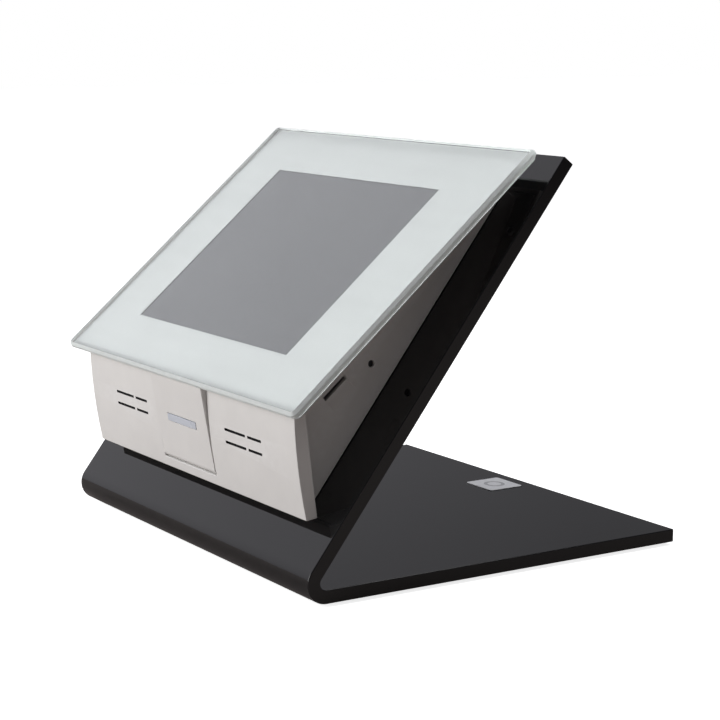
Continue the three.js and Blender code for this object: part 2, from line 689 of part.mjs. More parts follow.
add(panelGroup, 'terminal_block', box(terminal.width, terminal.height, terminal.depth), blackPlastic,
  0, terminal.up, boardBack - GAP - terminal.depth / 2);

function finnedSink() {
  const { width, height, base, fin, fins, finHeight } = heatSink;
  const pitch = (width - fin) / (fins - 1);
  const plateOfSink = box(width, height, base);
  const blades = Array.from({ length: fins }, (_, i) =>
    box(fin, height, finHeight + base).translate((i - (fins - 1) / 2) * pitch, 0, -finHeight / 2));
  return joined(plateOfSink, ...blades);
}

add(panelGroup, 'heat_sink', finnedSink(), aluminium, heatSink.x, heatSink.up,
  boardBack - GAP - heatSink.base / 2);

// the display's flat cable folds once between the display and the board
function flatCable() {
  const radius = (board.spacing - 2 * GAP) / 2;
  const steps = 8;
  const angle = (i) => Math.PI / 2 + (Math.PI * i) / steps;
  const arc = (r) => Array.from({ length: steps + 1 },
    (_, i) => [r * Math.cos(angle(i)), r * Math.sin(angle(i))]);
  const inner = radius - ribbon.thick;
  const outline = [
    [ribbon.reach, radius],
    ...arc(radius),
    [ribbon.reach, -radius],
    [ribbon.reach, -inner],
    ...arc(inner).reverse(),
    [ribbon.reach, inner],
  ];
  return across(outline, ribbon.width);
}

add(panelGroup, 'display_ribbon', flatCable(), amberFilm, 0, ribbon.up, backlightBack - board.spacing / 2);

// ---------------------------------------------------------------- speakers

function speakerDriver() {
  const { width, height, depth, magnetRadius, magnetDepth } = speaker;
  const basket = slab(width, height, depth, height * 0.45);
  const magnet = rodOut(magnetRadius, magnetDepth + 1, 20).translate(0, 0, -(depth + magnetDepth - 1) / 2);
  return joined(basket, magnet);
}

const clothOut = -bezel.wall - GAP - cloth.thick / 2;
const speakerOut = -bezel.wall - GAP - cloth.thick - GAP - speaker.depth / 2;
for (const [side, x] of [['left', -speakerAcross], ['right', speakerAcross]]) {
  add(coverGroup, `speaker_cloth_${side}`, box(cloth.width, cloth.height, cloth.thick), blackFoam,
    slotShift + x, slot.up, clothOut);
  add(coverGroup, `speaker_${side}`, speakerDriver(), blackPlastic, slotShift + x, slot.up, speakerOut);
}

// ---------------------------------------------------------------- service flap and its bay

const flapFrontAt = (up) =>
  flap.proudLow + ((flap.proudHigh - flap.proudLow) * (up - hingeUp)) / (flapTop - hingeUp);
const indicatorFront = flapFrontAt(indicator.up) + indicator.proud;
const indicatorBack = indicatorFront - indicator.depth;

// the flap turns about its round bottom edge; the outline starts at its top
function flapSide() {
  const steps = 16;
  const end = 2 * Math.PI - Math.acos((hinge.setBack - flap.back) / barrelRadius);
  const barrel = Array.from({ length: steps + 1 }, (_, i) => {
    const angle = (end * i) / steps;
    return [hingeUp - barrelRadius * Math.sin(angle), barrelRadius * Math.cos(angle) - hinge.setBack];
  });
  return [[flapTop, -flap.back], [flapTop, flap.proudHigh], ...barrel];
}

function serviceFlap() {
  const low = hingeUp + barrelRadius + flap.skin;
  const length = flapTop - flap.skin - low;
  const depth = 2 * (flap.back + flap.proudLow - flap.skin);
  const pocket = box(flap.width - 2 * flap.skin, length, depth).translate(0, low + length / 2, -flap.back);
  const bore = rodAcross(hinge.pinRadius + RUNNING, 2 * flap.width).translate(0, hingeUp, -hinge.setBack);
  const room = 2 * (indicatorFront - indicatorBack + GAP);
  const seat = box(indicator.width + 2 * GAP, indicator.height + 2 * GAP, room)
    .translate(0, indicator.up, indicatorFront);
  return cutBy(across(flapSide(), flap.width), pocket, bore, seat);
}

add(coverGroup, 'service_flap', serviceFlap(), whitePlastic, flapShift, 0, 0);
add(coverGroup, 'indicator_bar', box(indicator.width, indicator.height, indicator.depth), paleBlue,
  flapShift, indicator.up, (indicatorFront + indicatorBack) / 2);
add(coverGroup, 'flap_hinge_pin', rodAcross(hinge.pinRadius, pinLength), steel,
  flapShift, hingeUp, -hinge.setBack);

// the tray fills the corner between the cover and the bezel's front wall
const trayFront = -bezel.wall - GAP;
const trayCorner = meet(sameOut(cover, trayFront), sameOut(panel, bezelFront - bezel.wall));
const trayTop = alongIn(cover, trayCorner) - GAP - tray.wall;

function serviceTray() {
  const width = flap.width + 2 * flapFit;
  const height = trayTop - tray.floorUp;
  const shell = box(width + 2 * tray.wall, height + 2 * tray.wall, tray.depth);
  return cutBy(shell, box(width, height, tray.depth).translate(0, 0, tray.wall));
}

add(coverGroup, 'service_tray', serviceTray(), blackPlastic,
  flapShift, (trayTop + tray.floorUp) / 2, trayFront - tray.depth / 2);

// a socket with its tongue, mouth outwards
function usbSocket() {
  const { width, height, length, shell } = usb;
  const mouth = box(width - 2 * shell, height - 2 * shell, length).translate(0, 0, 2 * shell);
  const tongue = box(width - 4 * shell, height / 3, length - 2 * shell).translate(0, shell, 0);
  return joined(cutBy(box(width, height, length), mouth), tongue);
}

const usbOut = trayFront - tray.depth + tray.wall + GAP + usb.length / 2;
[-usb.apart / 2, usb.apart / 2].forEach((x, i) => {
  add(coverGroup, `usb_socket_${i + 1}`, usbSocket(), steel, flapShift + x, usb.up, usbOut);
});

// ---------------------------------------------------------------- origin at the footprint's middle

standGroup.updateMatrixWorld(true);
const extent = new THREE.Box3().setFromObject(standGroup, true);
standGroup.position.y = -(extent.min.y + extent.max.y) / 2;

export default kiosk;
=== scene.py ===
import math

import bmesh
import bpy
from mathutils import Matrix, Vector


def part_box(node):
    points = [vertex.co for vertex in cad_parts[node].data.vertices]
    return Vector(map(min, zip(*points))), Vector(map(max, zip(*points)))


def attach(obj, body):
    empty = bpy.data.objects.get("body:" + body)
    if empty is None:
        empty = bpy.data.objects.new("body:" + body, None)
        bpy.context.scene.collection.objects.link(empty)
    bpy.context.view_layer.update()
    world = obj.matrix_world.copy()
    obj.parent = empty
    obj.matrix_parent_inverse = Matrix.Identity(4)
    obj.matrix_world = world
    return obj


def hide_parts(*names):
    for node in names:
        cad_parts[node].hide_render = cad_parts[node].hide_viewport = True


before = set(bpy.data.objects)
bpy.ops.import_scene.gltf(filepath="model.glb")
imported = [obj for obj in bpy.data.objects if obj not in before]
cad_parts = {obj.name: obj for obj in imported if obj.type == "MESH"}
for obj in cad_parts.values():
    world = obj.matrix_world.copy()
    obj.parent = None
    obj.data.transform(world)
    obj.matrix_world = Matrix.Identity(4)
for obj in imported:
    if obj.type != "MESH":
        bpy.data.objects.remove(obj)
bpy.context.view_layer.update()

# Tabletop touchscreen terminal: a glass-fronted panel in a white wedge housing, on a stand
# bent from black acrylic. Metres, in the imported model's frame; the visitor stands on -Y.

MM = 0.001

# ------------------------------------------------------------------ camera

CAMERA_PLACE = Vector((0.7811, -0.4950, 0.2362))
CAMERA_AZIMUTH = math.radians(57.64)
CAMERA_ELEVATION = math.radians(9.63)
LENS = 99.54  # millimetres on a 36 mm sensor


def make_camera():
    data = bpy.data.cameras.new("camera")
    data.lens = LENS
    data.sensor_width = 36
    data.clip_start = 0.05
    data.clip_end = 50
    camera = bpy.data.objects.new("camera", data)
    back = Vector((
        math.sin(CAMERA_AZIMUTH) * math.cos(CAMERA_ELEVATION),
        -math.cos(CAMERA_AZIMUTH) * math.cos(CAMERA_ELEVATION),
        math.sin(CAMERA_ELEVATION),
    ))
    camera.location = CAMERA_PLACE
    camera.rotation_mode = "QUATERNION"
    camera.rotation_quaternion = (-back).to_track_quat("-Z", "Y")
    bpy.context.scene.collection.objects.link(camera)
    bpy.context.scene.camera = camera


make_camera()

# ------------------------------------------------------------------ places taken from the CAD


def turn_of(node):
    """The turn about X of a flat node: its largest face looks along the frame's Z, towards -Y."""
    face = max(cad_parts[node].data.polygons, key=lambda p: p.area)
    normal = face.normal if face.normal.y < 0 else -face.normal
    return Matrix.Rotation(math.atan2(-normal.y, normal.z), 3, "X")


FLAT = Matrix.Identity(3)  # no turn
PANEL = turn_of("front_glass")
PLATE = turn_of("mounting_plate")
COVER = turn_of("speaker_cloth_left")


def local_box(node, turn):
    """Lowest and highest corner of a node in a frame turned about X."""
    back = turn.transposed()
    points = [back @ v.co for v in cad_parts[node].data.vertices]
    low = Vector([min(p[i] for p in points) for i in range(3)])
    high = Vector([max(p[i] for p in points) for i in range(3)])
    return low, high


# ------------------------------------------------------------------ shaders


class Nodes:
    """Short hands for one material's node tree."""

    def __init__(self, name):
        self.material = bpy.data.materials.new(name)
        self.material.use_nodes = True
        self.tree = self.material.node_tree
        self.tree.nodes.clear()
        self.out = self.tree.nodes.new("ShaderNodeOutputMaterial")
        self.shader = self.tree.nodes.new("ShaderNodeBsdfPrincipled")
        self.link(self.shader.outputs[0], self.out.inputs["Surface"])
        self.place = self.tree.nodes.new("ShaderNodeTexCoord").outputs["Object"]

    def link(self, source, target):
        self.tree.links.new(source, target)

    def put(self, target, value):
        if isinstance(value, bpy.types.NodeSocket):
            self.link(value, target)
        elif isinstance(value, (tuple, list)):
            target.default_value = (*value, 1.0) if len(target.default_value) == 4 else value
        else:
            target.default_value = value

    def set(self, **values):
        for key, value in values.items():
            self.put(self.shader.inputs[key.replace("_", " ")], value)

    def scaled(self, x, y, z):
        node = self.tree.nodes.new("ShaderNodeMapping")
        node.inputs["Scale"].default_value = (x, y, z)
        self.link(self.place, node.inputs["Vector"])
        return node.outputs[0]

    def noise(self, scale, detail=3.0, vector=None, roughness=0.55):
        node = self.tree.nodes.new("ShaderNodeTexNoise")
        self.link(vector or self.place, node.inputs["Vector"])
        node.inputs["Scale"].default_value = scale
        node.inputs["Detail"].default_value = detail
        node.inputs["Roughness"].default_value = roughness
        return node.outputs["Fac"]

    def remap(self, value, low, high, to_low, to_high):
        node = self.tree.nodes.new("ShaderNodeMapRange")
        self.link(value, node.inputs["Value"])
        node.inputs["From Min"].default_value = low
        node.inputs["From Max"].default_value = high
        node.inputs["To Min"].default_value = to_low
        node.inputs["To Max"].default_value = to_high
        return node.outputs[0]

    def share(self, value, low, high):
        """0 up to low, 1 from high on."""
        return self.remap(value, low, high, 0.0, 1.0)

    def spread(self, value, to_low, to_high):
        """Noise, which lies mostly between 0.3 and 0.7, stretched over a range."""
        return self.remap(value, 0.3, 0.7, to_low, to_high)

    def math(self, operation, a, b=0.0):
        node = self.tree.nodes.new("ShaderNodeMath")
        node.operation = operation
        self.put(node.inputs[0], a)
        self.put(node.inputs[1], b)
        return node.outputs[0]

    def mix(self, factor, a, b):
        node = self.tree.nodes.new("ShaderNodeMix")
        node.data_type = "RGBA"
        self.put(node.inputs[0], factor)
        self.put(node.inputs[6], a)
        self.put(node.inputs[7], b)
        return node.outputs[2]

    def wear(self):
        node = self.tree.nodes.new("ShaderNodeAttribute")
        node.attribute_name = "wear"
        return node.outputs["Fac"]

    def axes(self):
        node = self.tree.nodes.new("ShaderNodeSeparateXYZ")
        self.link(self.place, node.inputs[0])
        return node.outputs

    def bump(self, height, distance, under=None):
        node = self.tree.nodes.new("ShaderNodeBump")
        node.inputs["Distance"].default_value = distance
        self.link(height, node.inputs["Height"])
        if under is not None:
            self.link(under, node.inputs["Normal"])
        return node.outputs[0]


def moulded(name, colour, edge, rough, grain=1500.0, height=9e-6, cloud=0.05):
    """Moulded plastic or rubber: spark-eroded grain, faint clouding, and edges rubbed smoother."""
    n = Nodes(name)
    dark = tuple(c * (1 - cloud) for c in colour)
    light = tuple(min(1.0, c * (1 + cloud)) for c in colour)
    clouds = n.share(n.noise(38.0, 4.0), 0.32, 0.68)
    specks = n.noise(grain * 0.9, 2.0)
    tone = n.mix(clouds, dark, light)
    tone = n.mix(n.remap(specks, 0.62, 0.8, 0.0, 0.35), tone, dark)
    rubbed = n.math("MULTIPLY", n.wear(), n.remap(n.noise(260.0, 3.0), 0.35, 0.65, 0.25, 0.9))
    n.set(Base_Color=n.mix(rubbed, tone, edge))
    satin = n.spread(n.noise(90.0, 4.0), rough - 0.06, rough + 0.06)
    n.set(Roughness=n.math("SUBTRACT", satin, n.math("MULTIPLY", rubbed, 0.15)))
    coarse = n.bump(n.noise(grain * 0.45, 3.0), height * 1.6)
    n.set(Normal=n.bump(n.noise(grain, 2.0, roughness=0.7), height, under=coarse))
    n.set(IOR=1.5)
    return n.material


def metal(name, colour, rough, brush, height=2e-6):
    """Metal with fine lines along one axis, a little tarnish and brighter rubbed edges."""
    n = Nodes(name)
    dark = tuple(c * 0.82 for c in colour)
    bright = tuple(min(1.0, c * 1.18) for c in colour)
    lines = n.noise(1.0, 4.0, n.scaled(*brush), 0.65)
    tone = n.mix(n.share(n.noise(70.0, 4.0), 0.35, 0.7), colour, dark)
    tone = n.mix(n.remap(lines, 0.35, 0.65, 0.0, 0.35), tone, bright)
    n.set(Base_Color=n.mix(n.wear(), tone, bright))
    n.set(Roughness=n.spread(lines, rough - 0.08, rough + 0.1))
    n.set(Normal=n.bump(lines, height))
    n.set(Metallic=1.0)
    return n.material


def acrylic():
    """Cast black acrylic: mirror gloss, a few smears and hairlines, edges polished a little softer."""
    n = Nodes("black_acrylic")
    smear = n.noise(1.0, 4.0, n.scaled(22.0, 60.0, 22.0), 0.5)
    dust = n.share(n.noise(900.0, 2.0), 0.7, 0.82)
    clouds = n.share(n.noise(14.0, 2.0), 0.35, 0.65)
    deep = n.mix(clouds, (0.0035, 0.0035, 0.004), (0.005, 0.005, 0.0055))
    deep = n.mix(n.math("MULTIPLY", dust, 0.35), deep, (0.03, 0.03, 0.032))
    n.set(Base_Color=n.mix(n.math("MULTIPLY", n.wear(), 0.5), deep, (0.03, 0.03, 0.033)))
    gloss = n.remap(smear, 0.35, 0.75, 0.025, 0.085)
    gloss = n.math("ADD", gloss, n.math("MULTIPLY", n.wear(), 0.10))
    n.set(Roughness=n.math("ADD", gloss, n.math("MULTIPLY", dust, 0.12)))
    hairline = n.noise(1.0, 2.0, n.scaled(2600.0, 26.0, 26.0), 0.5)
    ripple = n.bump(n.noise(9.0, 1.0), 3e-5)
    n.set(Normal=n.bump(n.share(hairline, 0.62, 0.75), 4e-7, under=ripple))
    n.set(IOR=1.49)
    return n.material


def pane(name, tint, rough):
    """Clear glass. Shadow rays pass it, so the lamps light what is printed behind it."""
    n = Nodes(name)
    deeper = tuple(c * 0.985 for c in tint)
    n.set(Base_Color=n.mix(n.spread(n.noise(25.0, 2.0), 0.0, 1.0), tint, deeper))
    n.set(Transmission_Weight=1.0, IOR=1.5)
    smear = n.noise(1.0, 4.0, n.scaled(30.0, 55.0, 30.0), 0.6)
    n.set(Roughness=n.remap(smear, 0.45, 0.8, rough, rough + 0.05))
    clear = n.tree.nodes.new("ShaderNodeBsdfTransparent")
    clear.inputs["Color"].default_value = (*tint, 1.0)
    either = n.tree.nodes.new("ShaderNodeMixShader")
    path = n.tree.nodes.new("ShaderNodeLightPath")
    n.link(path.outputs["Is Shadow Ray"], either.inputs[0])
    n.link(n.shader.outputs[0], either.inputs[1])
    n.link(clear.outputs[0], either.inputs[2])
    n.link(either.outputs[0], n.out.inputs["Surface"])
    return n.material


def ground_edge():
    """The glass's ground rim: satin, greenish white, with fine wheel marks along it."""
    n = Nodes("ground_glass_edge")
    marks = n.noise(1.0, 3.0, n.scaled(90.0, 700.0, 700.0), 0.6)
    n.set(Base_Color=n.mix(n.share(marks, 0.35, 0.65), (0.80, 0.845, 0.83), (0.86, 0.90, 0.885)))
    n.set(Roughness=n.spread(n.noise(240.0, 3.0), 0.42, 0.55))
    n.set(Normal=n.bump(marks, 5e-6))
    n.set(Transmission_Weight=0.3, IOR=1.5)
    return n.material


def display():
    """Switched-off screen: a grey satin film over fine pixel columns."""
    n = Nodes("display")
    x, _, _ = n.axes()
    grid = n.math("MULTIPLY", n.math("SINE", n.math("MULTIPLY", x, 12000.0)), 0.5)
    clouds = n.spread(n.noise(16.0, 2.0), 0.0, 1.0)
    tone = n.mix(clouds, (0.078, 0.080, 0.084), (0.087, 0.089, 0.093))
    n.set(Base_Color=n.mix(n.remap(grid, -0.5, 0.5, 0.0, 0.12), tone, (0.062, 0.063, 0.066)))
    n.set(Roughness=n.spread(n.noise(420.0, 3.0), 0.30, 0.42))
    n.set(Normal=n.bump(n.noise(5200.0, 2.0), 1.2e-6))
    return n.material


def ink():
    """White screen print behind the glass, faintly uneven where the squeegee passed."""
    n = Nodes("white_ink")
    streak = n.noise(1.0, 3.0, n.scaled(9.0, 160.0, 160.0), 0.5)
    tone = n.mix(n.spread(streak, 0.0, 1.0), (0.50, 0.515, 0.512), (0.525, 0.54, 0.537))
    pin = n.remap(n.noise(2400.0, 1.0), 0.76, 0.8, 0.0, 0.25)
    n.set(Base_Color=n.mix(pin, tone, (0.45, 0.465, 0.46)))
    n.set(Roughness=n.spread(n.noise(300.0, 3.0), 0.5, 0.65))
    n.set(Normal=n.bump(n.noise(1900.0, 2.0), 2e-6))
    return n.material


RING = (0.34, 0.52)  # as shares of the label's half sizes


def foil(centre, half):
    """Satin label, blank but for a faint plain ring."""
    n = Nodes("label_foil")
    x, y, _ = n.axes()
    across = n.math("DIVIDE", n.math("ABSOLUTE", n.math("SUBTRACT", x, centre[0])), half[0])
    down = n.math("DIVIDE", n.math("ABSOLUTE", n.math("SUBTRACT", y, centre[1])), half[1])
    squares = n.math("ADD", n.math("MULTIPLY", across, across), n.math("MULTIPLY", down, down))
    reach = n.math("SQRT", squares)
    inner, outer = RING
    ring = n.math("MULTIPLY", n.math("GREATER_THAN", reach, inner), n.math("LESS_THAN", reach, outer))
    tone = n.mix(n.spread(n.noise(500.0, 3.0), 0.0, 1.0), (0.80, 0.81, 0.84), (0.87, 0.88, 0.91))
    tone = n.mix(n.math("MULTIPLY", ring, 0.55), tone, (0.2, 0.2, 0.22))
    n.set(Base_Color=n.mix(n.wear(), tone, (0.6, 0.6, 0.62)))
    n.set(Roughness=n.spread(n.noise(700.0, 3.0), 0.3, 0.45))
    n.set(Normal=n.bump(n.noise(1300.0, 2.0), 3e-6))
    return n.material


def woven(name, colour, pitch):
    """Acoustic cloth: over and under threads at the given pitch."""
    n = Nodes(name)
    x, _, z = n.axes()
    turns = 2 * math.pi / pitch
    warp = n.math("SINE", n.math("MULTIPLY", x, turns))
    weft = n.math("SINE", n.math("MULTIPLY", z, turns))
    threads = n.math("MULTIPLY", warp, weft)
    shade = tuple(c * 0.4 for c in colour)
    fluff = tuple(c * 1.6 for c in colour)
    tone = n.mix(n.share(threads, -1.0, 1.0), shade, colour)
    n.set(Base_Color=n.mix(n.remap(n.noise(900.0, 3.0), 0.4, 0.7, 0.0, 0.4), tone, fluff))
    n.set(Roughness=n.remap(threads, -1.0, 1.0, 0.95, 0.8))
    n.set(Normal=n.bump(threads, 8e-5))
    return n.material


def circuit():
    """Green solder mask over copper tracks, with tinned pads."""
    n = Nodes("circuit_board")
    x, y, z = n.axes()
    lanes = n.math("SINE", n.math("MULTIPLY", n.math("ADD", x, n.math("MULTIPLY", y, 0.6)), 2600.0))
    rows = n.math("SINE", n.math("MULTIPLY", z, 1900.0))
    where = n.share(n.noise(60.0, 1.0), 0.48, 0.52)
    tracks = n.mix(where, n.share(lanes, 0.2, 0.4), n.share(rows, 0.2, 0.4))
    tone = n.mix(tracks, (0.010, 0.085, 0.035), (0.022, 0.15, 0.062))
    cells = n.tree.nodes.new("ShaderNodeTexVoronoi")
    cells.inputs["Scale"].default_value = 190.0
    n.link(n.place, cells.inputs["Vector"])
    pads = n.remap(cells.outputs["Distance"], 0.14, 0.17, 1.0, 0.0)
    n.set(Base_Color=n.mix(pads, tone, (0.62, 0.6, 0.55)))
    n.set(Roughness=n.remap(tracks, 0.0, 1.0, 0.42, 0.32))
    n.set(Normal=n.bump(n.math("ADD", tracks, pads), 1.5e-5))
    return n.material


WHITE = moulded("white_plastic", (0.735, 0.72, 0.70), (0.80, 0.79, 0.775), 0.5, cloud=0.025)
BLACK = moulded("black_plastic", (0.018, 0.018, 0.019), (0.05, 0.05, 0.052), 0.5, height=1.2e-5)
RUBBER = moulded("rubber", (0.022, 0.022, 0.022), (0.06, 0.06, 0.06), 0.8, 900.0, 2e-5, 0.15)
FOAM = moulded("black_foam", (0.012, 0.012, 0.012), (0.02, 0.02, 0.02), 0.9, 1100.0, 6e-5, 0.2)
CLOTH = woven("speaker_cloth", (0.012, 0.012, 0.013), 0.7 * MM)
LENS_BLUE = moulded("pale_blue_lens", (0.57, 0.60, 0.66), (0.64, 0.67, 0.72), 0.3, 2200.0, 2e-6, 0.03)
AMBER = moulded("amber_film", (0.42, 0.17, 0.03), (0.5, 0.25, 0.06), 0.35, 2600.0, 2e-6, 0.1)
STEEL = metal("steel", (0.58, 0.58, 0.59), 0.32, (1600.0, 60.0, 60.0))
ALUMINIUM = metal("aluminium", (0.62, 0.63, 0.64), 0.42, (60.0, 900.0, 900.0), 4e-6)
BRASS = metal("brass", (0.70, 0.52, 0.24), 0.3, (900.0, 900.0, 60.0))
GOLD = metal("gold_contacts", (0.85, 0.62, 0.25), 0.25, (900.0, 60.0, 60.0))
ACRYLIC = acrylic()
GLASS = pane("front_glass", (0.965, 0.98, 0.975), 0.0)
RIM = ground_edge()
INK = ink()
DISPLAY = display()
BOARD = circuit()

# ------------------------------------------------------------------ mesh tools

WEAR_FROM = math.radians(16)  # no wear on edges flatter than this
WEAR_TO = math.radians(28)  # full wear on edges sharper than this
SHARP_FROM = math.radians(38)  # shading breaks at edges sharper than this
SOFTEN_FROM = math.radians(30)  # edges sharper than this are rounded
FLAT_WITHIN = math.radians(0.15)  # faces this close to level are joined
SAME_POINT = 0.002 * MM
NO_LENGTH = 0.0001 * MM
LEAST_RADIUS = 0.01 * MM


def piece(name, bm, turn, body, slot, material, *nodes):
    """A finished piece from a bmesh in a turned frame. It stands for the given CAD nodes."""
    bmesh.ops.transform(bm, matrix=turn.to_4x4(), verts=bm.verts)
    bmesh.ops.recalc_face_normals(bm, faces=bm.faces)
    bm.normal_update()
    wear = bm.verts.layers.float.new("wear")
    for vert in bm.verts:
        bend = max((e.calc_face_angle(0.0) for e in vert.link_edges if e.is_convex), default=0.0)
        vert[wear] = min(1.0, max(0.0, (bend - WEAR_FROM) / (WEAR_TO - WEAR_FROM)))
    for face in bm.faces:
        face.smooth = True
    mesh = bpy.data.meshes.new(name)
    bm.to_mesh(mesh)
    bm.free()
    mesh.set_sharp_from_angle(angle=SHARP_FROM)
    mesh.materials.append(material)
    made = bpy.data.objects.new(name, mesh)
    bpy.context.scene.collection.objects.link(made)
    shade = made.modifiers.new("normals", "WEIGHTED_NORMAL")
    shade.keep_sharp = True
    shade.weight = 100
    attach(made, body)
    if nodes:
        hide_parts(*nodes)
    return made


def skin(loops, closed=False):
    """A closed mesh over loops of the same length; closed joins the last loop to the first."""
    bm = bmesh.new()
    rows = [[bm.verts.new(p) for p in loop] for loop in loops]
    pairs = list(zip(rows, rows[1:]))
    if closed:
        pairs.append((rows[-1], rows[0]))
    else:
        bm.faces.new(rows[0][::-1])
        bm.faces.new(rows[-1])
    for below, above in pairs:
        for i in range(len(below)):
            j = (i + 1) % len(below)
            bm.faces.new((below[i], below[j], above[j], above[i]))
    return bm


def corners(width, height, radius, steps):
    """Points round a rectangle with round corners, about the origin."""
    w, h = width / 2 - radius, height / 2 - radius
    points = []
    for k, (x, y) in enumerate(((w, h), (-w, h), (-w, -h), (w, -h))):
        for i in range(steps + 1):
            angle = math.pi / 2 * (k + i / steps)
            points.append((x + radius * math.cos(angle), y + radius * math.sin(angle)))
    return points


def round_edge(low, high, radius, steps=3):
    """(inset, height) points up the side of a slab with rounded rims."""
    arc = [math.pi / 2 * i / steps for i in range(steps + 1)]
    lower = [(radius * (1 - math.sin(a)), low + radius * (1 - math.cos(a))) for a in arc]
    upper = [(inset, high + low - height) for inset, height in reversed(lower)]
    return lower + upper


def slab(low, high, corner, sides, steps=6):
    """A flat plate between two corners: sides are its (inset, height) points."""
    width, height = high.x - low.x, high.y - low.y
    middle = (low + high) / 2
    loops = []
    for inset, up in sides:
        radius = max(corner - inset, LEAST_RADIUS)
        outline = corners(width - 2 * inset, height - 2 * inset, radius, steps)
        loops.append([(middle.x + x, middle.y + y, up) for x, y in outline])
    return skin(loops)


def circle(centre, radius, up, count):
    """Points round a circle at a height."""
    step = 2 * math.pi / count
    return [
        (centre.x + radius * math.cos(step * i), centre.y + radius * math.sin(step * i), up)
        for i in range(count)
    ]


def hexagon(centre, radius, up, count):
    """A hexagon with as many points as the circles round it."""
    points = []
    for x, y, z in circle(Vector((0, 0)), 1.0, up, count):
        angle = math.atan2(y, x) % (math.pi / 3) - math.pi / 6
        reach = radius * math.cos(math.pi / 6) / math.cos(angle)
        points.append((centre.x + reach * x, centre.y + reach * y, z))
    return points


def inside(edge, turn, low, high):
    """Whether both ends of the edge are between two corners in a turned frame."""
    back = turn.transposed()
    ends = [back @ v.co for v in edge.verts]
    return all(low[i] <= p[i] <= high[i] for p in ends for i in range(3))


def soften(bm, width, segments, spare=()):
    """Rounds every sharp edge, except those inside the spare boxes."""
    sharp = [
        e for e in bm.edges
        if len(e.link_faces) == 2 and e.calc_face_angle(0.0) > SOFTEN_FROM
        and not any(inside(e, *box) for box in spare)
    ]
    bmesh.ops.bevel(
        bm, geom=sharp, offset=width, offset_type="OFFSET", segments=segments, profile=0.5,
        affect="EDGES", clamp_overlap=False,
    )
    bmesh.ops.dissolve_degenerate(bm, dist=NO_LENGTH, edges=bm.edges)
    return bm


def join_flat(bm):
    """Merges points that coincide and joins up faces that are level with each other."""
    bmesh.ops.remove_doubles(bm, verts=bm.verts, dist=SAME_POINT)
    bmesh.ops.dissolve_limit(bm, angle_limit=FLAT_WITHIN, verts=bm.verts, edges=bm.edges)


def cad_mesh(node):
    """The CAD node's mesh with flat areas joined up."""
    bm = bmesh.new()
    bm.from_mesh(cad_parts[node].data)
    join_flat(bm)
    return bm


def softened(node, width, body, slot, material, segments=3, spare=()):
    """The CAD node's own shape as a piece, with its sharp edges rounded."""
    blank = soften(cad_mesh(node), width, segments, spare=spare)
    return piece(node + "_piece", blank, FLAT, body, slot, material, node)


def bored(bm, cutters, turn):
    """bm with round holes: cutters are (centre, radius, low, high, sides) in a turned frame."""
    holder = bpy.data.meshes.new("blank")
    bm.to_mesh(holder)
    bm.free()
    blank = bpy.data.objects.new("blank", holder)
    bpy.context.scene.collection.objects.link(blank)
    made = [blank]
    for centre, radius, low, high, sides in cutters:
        tool = skin([circle(centre, radius, low, sides), circle(centre, radius, high, sides)])
        bmesh.ops.transform(tool, matrix=turn.to_4x4(), verts=tool.verts)
        bmesh.ops.recalc_face_normals(tool, faces=tool.faces)
        mesh = bpy.data.meshes.new("tool")
        tool.to_mesh(mesh)
        tool.free()
        cutter = bpy.data.objects.new("tool", mesh)
        bpy.context.scene.collection.objects.link(cutter)
        made.append(cutter)
        cut = blank.modifiers.new("cut", "BOOLEAN")
        cut.operation = "DIFFERENCE"
        cut.solver = "EXACT"
        cut.object = cutter
    depsgraph = bpy.context.evaluated_depsgraph_get()
    result = bmesh.new()
    result.from_mesh(blank.evaluated_get(depsgraph).to_mesh())
    for item in made:
        bpy.data.objects.remove(item)
    join_flat(result)
    return result


def dress(node, material):
    """A CAD node keeps its shape and gets a better material."""
    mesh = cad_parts[node].data
    mesh.materials.clear()
    mesh.materials.append(material)


# ------------------------------------------------------------------ stand

SHEET = 6 * MM
INNER_BEND = 3 * MM
OUTER_BEND = INNER_BEND + SHEET
BEND_STEPS = 40
BORE = 2.2 * MM
BORE_SIDES = 32
BORE_REACH = (-2 * MM, 9 * MM)  # from the washer's middle, through the sheet
PASSAGE = 18 * MM
PASSAGE_SIDES = 96
PASSAGE_REACH = (-12 * MM, 12 * MM)  # from the grommet's middle, through the sheet
ARRIS = 0.45 * MM
ARRIS_STEPS = 4


def centre_of(node, turn):
    low, high = local_box(node, turn)
    return (low + high) / 2


def stand_blank():
    """The bent sheet without holes: its side outline, drawn across from left to right."""
    low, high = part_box("acrylic_stand")
    bend_y, bend_z = low.y + OUTER_BEND, low.z + OUTER_BEND
    plate_low, plate_high = local_box("acrylic_stand", PLATE)
    face = PLATE.transposed() @ Vector((0, bend_y, bend_z))
    up = PLATE @ Vector((0, plate_high.y, face.z + OUTER_BEND))
    under = PLATE @ Vector((0, plate_high.y, face.z + INNER_BEND))
    lean = math.atan2(PLATE[2][1], PLATE[1][1])
    start, end = -math.pi / 2, lean + math.pi / 2 - 2 * math.pi

    def arc(radius, a, b):
        for i in range(BEND_STEPS + 1):
            t = a + (b - a) * i / BEND_STEPS
            yield (bend_y + radius * math.cos(t), bend_z + radius * math.sin(t))

    side = [(high.y, low.z), (high.y, low.z + SHEET)]
    side += list(arc(INNER_BEND, start, end))
    side += [(under.y, under.z), (up.y, up.z)]
    side += list(arc(OUTER_BEND, end, start))
    left = [(low.x, y, z) for y, z in side]
    right = [(high.x, y, z) for y, z in side]
    bm = skin([left, right])
    bmesh.ops.recalc_face_normals(bm, faces=bm.faces)
    return bm


